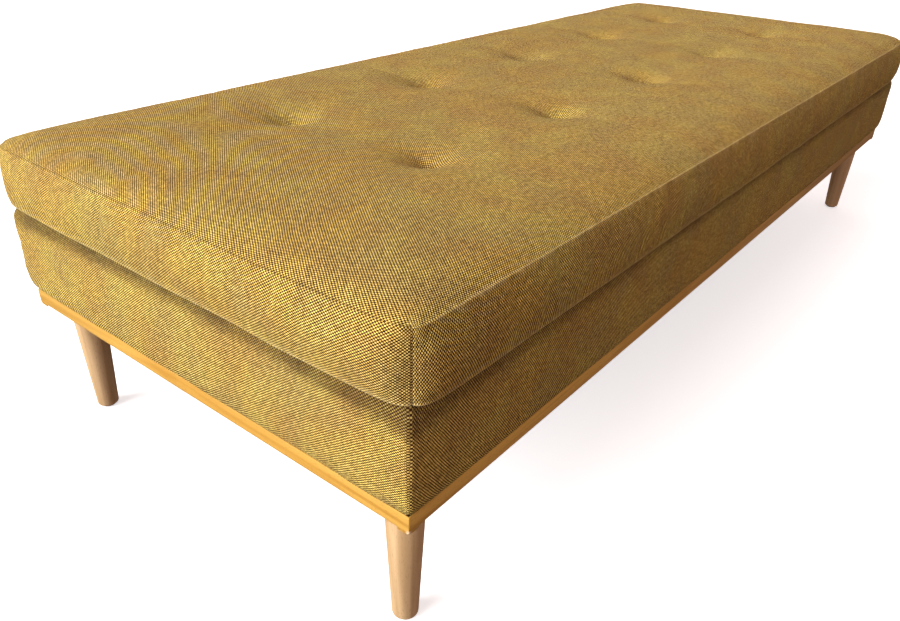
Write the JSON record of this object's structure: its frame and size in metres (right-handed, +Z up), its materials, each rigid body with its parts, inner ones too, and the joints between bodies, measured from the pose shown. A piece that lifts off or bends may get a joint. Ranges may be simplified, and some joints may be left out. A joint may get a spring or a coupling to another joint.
{
  "type": "upholstered daybed",
  "caption": "Backless daybed: a cloth-covered box on a beech plinth with tapered round legs, and a loose tufted mattress in the same cloth.",
  "frame": {"origin": "on the floor, under the middle of the plinth", "axes": "+X along the daybed towards its right end as seen from the front, +Y to the back, +Z up; the front is the long side at -Y"},
  "size_m": [2.0306, 0.8308, 0.4946],
  "materials": {
    "lacquered_beech": "satin",
    "pale_beech": "matte",
    "pine": "matte",
    "plywood": "matte",
    "zinc_steel": "satin",
    "felt": "matte",
    "mustard_cloth": "matte",
    "lining": "matte",
    "foam": "matte",
    "twine": "matte",
    "zip_nylon": "satin"
  },
  "bodies": {
    "base": {"border_foam": "foam", "case_cover_back": "mustard_cloth", "case_cover_front": "mustard_cloth", "case_cover_left": "mustard_cloth", "case_cover_right": "mustard_cloth", "case_cover_top": "mustard_cloth", "corner_block_back_left": "pine", "corner_block_back_right": "pine", "corner_block_front_left": "pine", "corner_block_front_right": "pine", "cross_rail_left": "pine", "cross_rail_middle": "pine", "cross_rail_right": "pine", "deck_board_left": "plywood", "deck_board_right": "plywood", "deck_foam": "foam", "dust_cover": "lining", "frame_back": "pine", "frame_front": "pine", "frame_left": "pine", "frame_right": "pine", "glide_back_left": "felt", "glide_back_right": "felt", "glide_front_left": "felt", "glide_front_right": "felt", "leg_back_left": "pale_beech", "leg_back_right": "pale_beech", "leg_bolt_back_left": "zinc_steel", "leg_bolt_back_right": "zinc_steel", "leg_bolt_front_left": "zinc_steel", "leg_bolt_front_right": "zinc_steel", "leg_front_left": "pale_beech", "leg_front_right": "pale_beech", "plinth_back": "lacquered_beech", "plinth_front": "lacquered_beech", "plinth_left": "lacquered_beech", "plinth_right": "lacquered_beech", "tee_nut_back_left": "zinc_steel", "tee_nut_back_right": "zinc_steel", "tee_nut_front_left": "zinc_steel", "tee_nut_front_right": "zinc_steel"},
    "mattress": {"boxing_back": "mustard_cloth", "boxing_front": "mustard_cloth", "boxing_left": "mustard_cloth", "boxing_right": "mustard_cloth", "mattress_foam": "foam", "mattress_top": "mustard_cloth", "mattress_underside": "mustard_cloth", "tie_1": "twine", "tie_10": "twine", "tie_2": "twine", "tie_3": "twine", "tie_4": "twine", "tie_5": "twine", "tie_6": "twine", "tie_7": "twine", "tie_8": "twine", "tie_9": "twine", "zip_tape": "zip_nylon"},
    "zip_slider": {"zip_slider": "zinc_steel"}
  },
  "joints": [
    {"name": "mattress_lift", "type": "slide", "parent": "base", "child": "mattress", "axis": [0, 0, 1], "range_m": [0, 0.3]},
    {"name": "zip_slide", "type": "slide", "parent": "mattress", "child": "zip_slider", "axis": [1, 0, 0], "range_m": [0, 1.281]}
  ]
}
